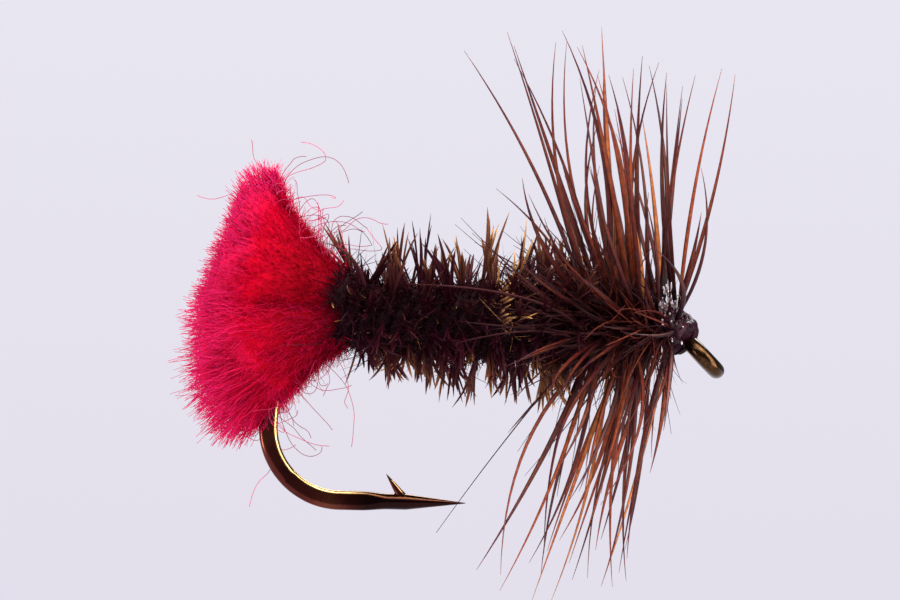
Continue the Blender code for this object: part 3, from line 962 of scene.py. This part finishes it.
def web_fibres(span, count):
    """Short dark fibres that fill the hackle's base: (paths, half widths)."""
    x = rng.uniform(span[0] - 0.25, span[1] - 0.15, count)
    angle = rng.uniform(0, 2 * np.pi, count)
    out, around_way = out_and_round(angle)
    lean = np.minimum(rng.normal(-0.35, 0.35, count), 0.05)
    swing = rng.normal(0, 0.4, count)
    heading = unit(out + X * lean[:, None] + around_way * swing[:, None])
    length = rng.gamma(4.0, 0.40, count)[:, None]
    root = around(x, angle, 0.4)
    bend = rng.normal(0, 0.2, (count, 3)) * length
    tip = root + heading * length + bend
    paths = curve_between(root, root + heading * length * 0.5, tip, WEB_STEPS)
    widths = rng.uniform(0.02, 0.07, (count, 1)) * np.linspace(1, 0.15, WEB_STEPS)[None, :]
    return paths, widths


def build_hackle():
    """The two wound feathers, each a stem, its barbs and their dark web, and the loose soft barbs."""
    brown = hackle_material()
    web = web_material()
    loose = curve_between(*np.array(LOOSE_BARBS).transpose(1, 0, 2), BARB_STEPS)
    thin = np.array(LOOSE_WIDTHS)[:, None] * np.linspace(1, 0.3, BARB_STEPS)
    alone = tubes("loose_barbs", loose, thin, web, tints=LOOSE_TINTS, sides=6)
    stands_for(alone, "brown_hackle")
    for node, span, count, top_length, dip in FEATHERS:
        turn = np.linspace(0, STEM_TURNS, STEM_STEPS)
        x = span[0] + (span[1] - span[0]) * turn / STEM_TURNS
        stem_line = around(x, 2 * np.pi * turn, STEM_R)[None]
        stem = tubes(node + "_stem", stem_line, STEM_THICKNESS, brown, facing=X, sides=8)
        stands_for(stem, "brown_hackle")
        paths, widths, facing, tints = barb_set(span, count, top_length, dip)
        barbs = tubes(node + "_barbs", paths, widths, brown, facing, tints=tints, **BARB_SHAPE)
        stands_for(barbs, "brown_hackle", node)
        paths, widths = web_fibres(span, WEB_FIBRES)
        down = tubes(node + "_web", paths, widths, web, sides=4, flatness=0.5)
        stands_for(down, "brown_hackle")
    for name, left in (("soft_barbs_left", True), ("soft_barbs_right", False)):
        paths, widths = soft_barbs(SOFT_BARBS, left)
        tints = rng.uniform(0.1, 0.75, len(paths))
        soft = tubes(name, paths, widths, web, tints=tints, **SOFT_SHAPE)
        stands_for(soft, "brown_hackle")


# -------- thread, head and cement

THREAD_R = 0.05
HEAD_THREAD_R = 0.055
STEPS_PER_TURN = 26
SLEEVE_STATIONS = 5
HEAD_STATIONS = 12
HEAD_ENDS = (-0.18, 0.72)  # along the neck's curve
HEAD_THIN_R, HEAD_SWELL = 0.34, 0.32
HEAD_TURNS = 13
FINISH_FROM = 6  # the station at which the whip finish begins
FINISH_TURNS = 5
COAT_SIDES = 28
COAT_DEPTH = 0.06
DROPLETS = 60
DROP_SIDES, DROP_ROWS = 12, 9


def wound_thread(name, centres, directions, radii, turns, thread_r, material):
    """Thread wound along a path: its turns follow the radii given at the path's stations."""
    steps = turns * STEPS_PER_TURN
    at = np.linspace(0, len(centres) - 1, steps)
    low = np.clip(at.astype(int), 0, len(centres) - 2)
    part = (at - low)[:, None]
    centre = centres[low] * (1 - part) + centres[low + 1] * part
    direction = unit(directions[low] * (1 - part) + directions[low + 1] * part)
    radius = radii[low] * (1 - part[:, 0]) + radii[low + 1] * part[:, 0]
    side = unit(np.cross(direction, Y))
    other = np.cross(direction, side)
    angle = np.linspace(0, 2 * np.pi * turns, steps)
    radius = radius + 0.03 * np.sin(angle * 0.37) + 0.02 * np.sin(angle * 1.71)
    line = centre + side * (np.cos(angle) * radius)[:, None] + other * (np.sin(angle) * radius)[:, None]
    return tubes(name, line[None], thread_r, material, facing=X, sides=6)


def shank_thread(node, turns, material):
    """Wraps on the straight shank, over the space of their CAD sleeve."""
    low, high = millimetres(node)
    x = np.linspace(low[0] + 0.05, high[0] - 0.05, SLEEVE_STATIONS)
    centres = SHANK + x[:, None] * X
    directions = np.tile(X, (SLEEVE_STATIONS, 1))
    radius = np.full(SLEEVE_STATIONS, (high[2] - low[2]) / 2 - 0.12)
    wraps = wound_thread(node + "_wound", centres, directions, radius, turns, THREAD_R, material)
    stands_for(wraps, "black_thread", node)


def cement_coat(centres, directions, radii):
    """The coat's lumpy rings, one at each of the head's stations."""
    rows = []
    for centre, direction, radius in zip(centres, directions, radii):
        side = unit(np.cross(direction, Y))
        other = np.cross(direction, side)
        row = []
        for a in 2 * np.pi * np.arange(COAT_SIDES) / COAT_SIDES:
            way = side * math.cos(a) + other * math.sin(a)
            place = Vector(centre + way * radius)
            lump = noise.noise(place * 2.6) * 0.16 + noise.noise(place * 6.0) * 0.14
            row.append(centre + way * (radius + COAT_DEPTH + lump))
        rows.append(row)
    return rows


def droplet():
    """One small long drop of cement on the barbs' roots, as rows of points."""
    angle = rng.normal(-0.6, 0.6)
    middle = around(rng.uniform(-1.45, -0.6), angle, rng.uniform(0.65, 1.35))
    climb = unit(middle - SHANK - X * middle[0])
    long, round_r = rng.uniform(0.08, 0.24), rng.uniform(0.025, 0.05)
    turns = np.linspace(0, 2 * np.pi, DROP_SIDES, endpoint=False)
    ring = [X * math.cos(a) + np.cross(climb, X) * math.sin(a) for a in turns]
    return [
        [middle + climb * long * math.cos(t) + way * round_r * math.sin(t) for way in ring]
        for t in np.linspace(0.1, np.pi - 0.1, DROP_ROWS)
    ]


def build_head():
    """The tying thread's wraps along the shank and over the head, and the cement that coats them."""
    thread = thread_material()
    for node, turns in (("tag_lashing", 9), ("shoulder_wraps", 4), ("hackle_wraps", 4)):
        shank_thread(node, turns, thread)
    for node in ("thread_underbody", "stem_stub"):
        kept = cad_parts[node].data.materials
        kept.clear()
        kept.append(thread)

    centres = np.array([hook_neck(t) for t in np.linspace(*HEAD_ENDS, HEAD_STATIONS)])
    directions = unit(np.gradient(centres, axis=0))
    swell = np.sin(np.pi * np.linspace(0.08, 0.95, HEAD_STATIONS)) ** 0.7
    radii = HEAD_THIN_R + HEAD_SWELL * swell
    head = (centres, directions, radii)
    body = wound_thread("head_wraps_wound", *head, HEAD_TURNS, HEAD_THREAD_R, thread)
    stands_for(body, "black_thread", "head_wraps")
    front = (centres[FINISH_FROM:], directions[FINISH_FROM:], radii[FINISH_FROM:] + 0.03)
    finish = wound_thread("whip_finish_wound", *front, FINISH_TURNS, THREAD_R, thread)
    stands_for(finish, "black_thread", "whip_finish")

    coat = skin("head_cement_coat", [cement_coat(*head)], cement_material())
    smooth = coat.modifiers.new("smooth", "SUBSURF")
    smooth.levels = 2
    smooth.render_levels = 2
    stands_for(coat, "head_cement", "head_cement")
    drops = [droplet() for _ in range(DROPLETS)]
    stands_for(skin("cement_droplets", drops, painted_highlight_droplet_material()), "head_cement")


# -------- stage, light and camera

PALE_LOW = rgb(226, 222, 235)
PALE_HIGH = rgb(233, 231, 242)
FLY = np.array((-8.0, 0.0, 1.0))
FLOOR_Z = -55.0
FLOOR_R = 300.0
FLOOR_SIDES = 96
ROOM_COLOUR = (0.95, 0.93, 1.0, 1)
ROOM_STRENGTH = 0.18
ARC_DEGREES = (-10, 22, 54, 86)
ARC_DISTANCE = 120
ARC_SIZE = (84, 74)
ARC_POWER = 0.085
ARC_COLOUR = (1.0, 0.96, 0.88)
SOFT_BOXES = (  # name, place, size, power
    ("fill", (-35, -100, 140), (180, 120), 0.16),
    ("left", (-150, -60, 0), (60, 90), 0.115),
    ("back", (30, 150, 120), (120, 70), 0.17),
)
CAMERA_ROLL = math.radians(1.34)
VIEW_X, VIEW_Z = -7.906, 1.772
VIEW_WIDTH = 28.125
CAMERA_DISTANCE = 210.0
SENSOR_WIDTH = 36


def build_stage():
    """A pale floor well below the fly, which glows evenly like a light table."""
    paper = Nodes("pale_paper")
    paper.feed(paper.ramp(paper.noise(40, 2), (0.3, rgb(58, 57, 62)), (0.7, rgb(64, 63, 68))), "Base Color")
    paper.set(Roughness=0.9, Specular_IOR_Level=0.1, Emission_Color=PALE_HIGH, Emission_Strength=0.93)
    turns = np.linspace(0, 2 * np.pi, FLOOR_SIDES, endpoint=False)[:, None]
    rim = X * np.cos(turns) * FLOOR_R + Y * np.sin(turns) * FLOOR_R + Z * FLOOR_Z
    mesh = bpy.data.meshes.new("floor")
    mesh.from_pydata((rim * MM).tolist(), [], [tuple(range(FLOOR_SIDES))])
    link("floor", mesh, paper.material)


def area_light(name, place, size, power, up=Z, colour=(1, 1, 1)):
    """A soft box that faces the fly; its size is across and along its up direction."""
    away = unit(np.array(place, float) - FLY)
    across = unit(np.cross(up, away))
    data = bpy.data.lights.new(name, "AREA")
    data.shape = "RECTANGLE"
    data.size, data.size_y = (s * MM for s in size)
    data.energy = power
    data.color = colour
    light = bpy.data.objects.new(name, data)
    turn = Matrix(np.stack([across, np.cross(away, across), away], axis=1).tolist())
    light.matrix_world = Matrix.LocRotScale(Vector(place) * MM, turn, None)
    bpy.context.scene.collection.objects.link(light)


def build_light():
    """An arc of soft boxes from the fly's front end to overhead, and three more, in a dim room."""
    build_room()
    for number, degrees in enumerate(ARC_DEGREES, 1):
        way = X * math.cos(math.radians(degrees)) + Z * math.sin(math.radians(degrees)) - Y * 0.45
        place = FLY + way * ARC_DISTANCE
        area_light(f"arc_{number}", place, ARC_SIZE, ARC_POWER, np.cross(Y, way), ARC_COLOUR)
    for box in SOFT_BOXES:
        area_light(*box)


def build_room():
    """The world: a dim even light on the fly, and a pale backdrop where the camera looks past it."""
    world = bpy.data.worlds.new("soft_studio")
    world.use_nodes = True
    tree = world.node_tree
    new, join = tree.nodes.new, tree.links.new
    light = tree.nodes["Background"]
    light.inputs["Color"].default_value = ROOM_COLOUR
    light.inputs["Strength"].default_value = ROOM_STRENGTH
    backdrop = new("ShaderNodeBackground")
    ramp = new("ShaderNodeValToRGB")
    for element, position, colour in zip(ramp.color_ramp.elements, (0.47, 0.53), (PALE_LOW, PALE_HIGH)):
        element.position = position
        element.color = colour
    apart = new("ShaderNodeSeparateXYZ")
    height = new("ShaderNodeMath")
    height.operation = "MULTIPLY_ADD"
    height.inputs[1].default_value = 0.5
    height.inputs[2].default_value = 0.5
    join(new("ShaderNodeTexCoord").outputs["Generated"], apart.inputs[0])
    join(apart.outputs["Z"], height.inputs[0])
    join(height.outputs[0], ramp.inputs[0])
    join(ramp.outputs["Color"], backdrop.inputs["Color"])
    rays = new("ShaderNodeLightPath")
    choose = new("ShaderNodeMixShader")
    join(rays.outputs["Is Camera Ray"], choose.inputs[0])
    join(light.outputs[0], choose.inputs[1])
    join(backdrop.outputs[0], choose.inputs[2])
    join(choose.outputs[0], tree.nodes["World Output"].inputs["Surface"])
    bpy.context.scene.world = world


def build_camera():
    """Straight along +Y on a long lens, rolled by the small angle at which the vise held the hook."""
    right = Vector((math.cos(CAMERA_ROLL), 0, math.sin(CAMERA_ROLL)))
    up = Vector((-math.sin(CAMERA_ROLL), 0, math.cos(CAMERA_ROLL)))
    data = bpy.data.cameras.new("camera")
    data.sensor_width = SENSOR_WIDTH
    data.lens = SENSOR_WIDTH * CAMERA_DISTANCE / VIEW_WIDTH
    data.clip_start = 0.005
    data.clip_end = 5
    camera = bpy.data.objects.new("camera", data)
    camera.location = (right * VIEW_X + up * VIEW_Z - Vector((0, CAMERA_DISTANCE, 0))) * MM
    camera.rotation_euler = (math.pi / 2, -CAMERA_ROLL, 0)
    bpy.context.scene.collection.objects.link(camera)
    bpy.context.scene.camera = camera
    bpy.context.scene.view_settings.view_transform = "Standard"


build_hook()
build_tag()
build_body()
build_hackle()
build_head()
build_stage()
build_light()
build_camera()
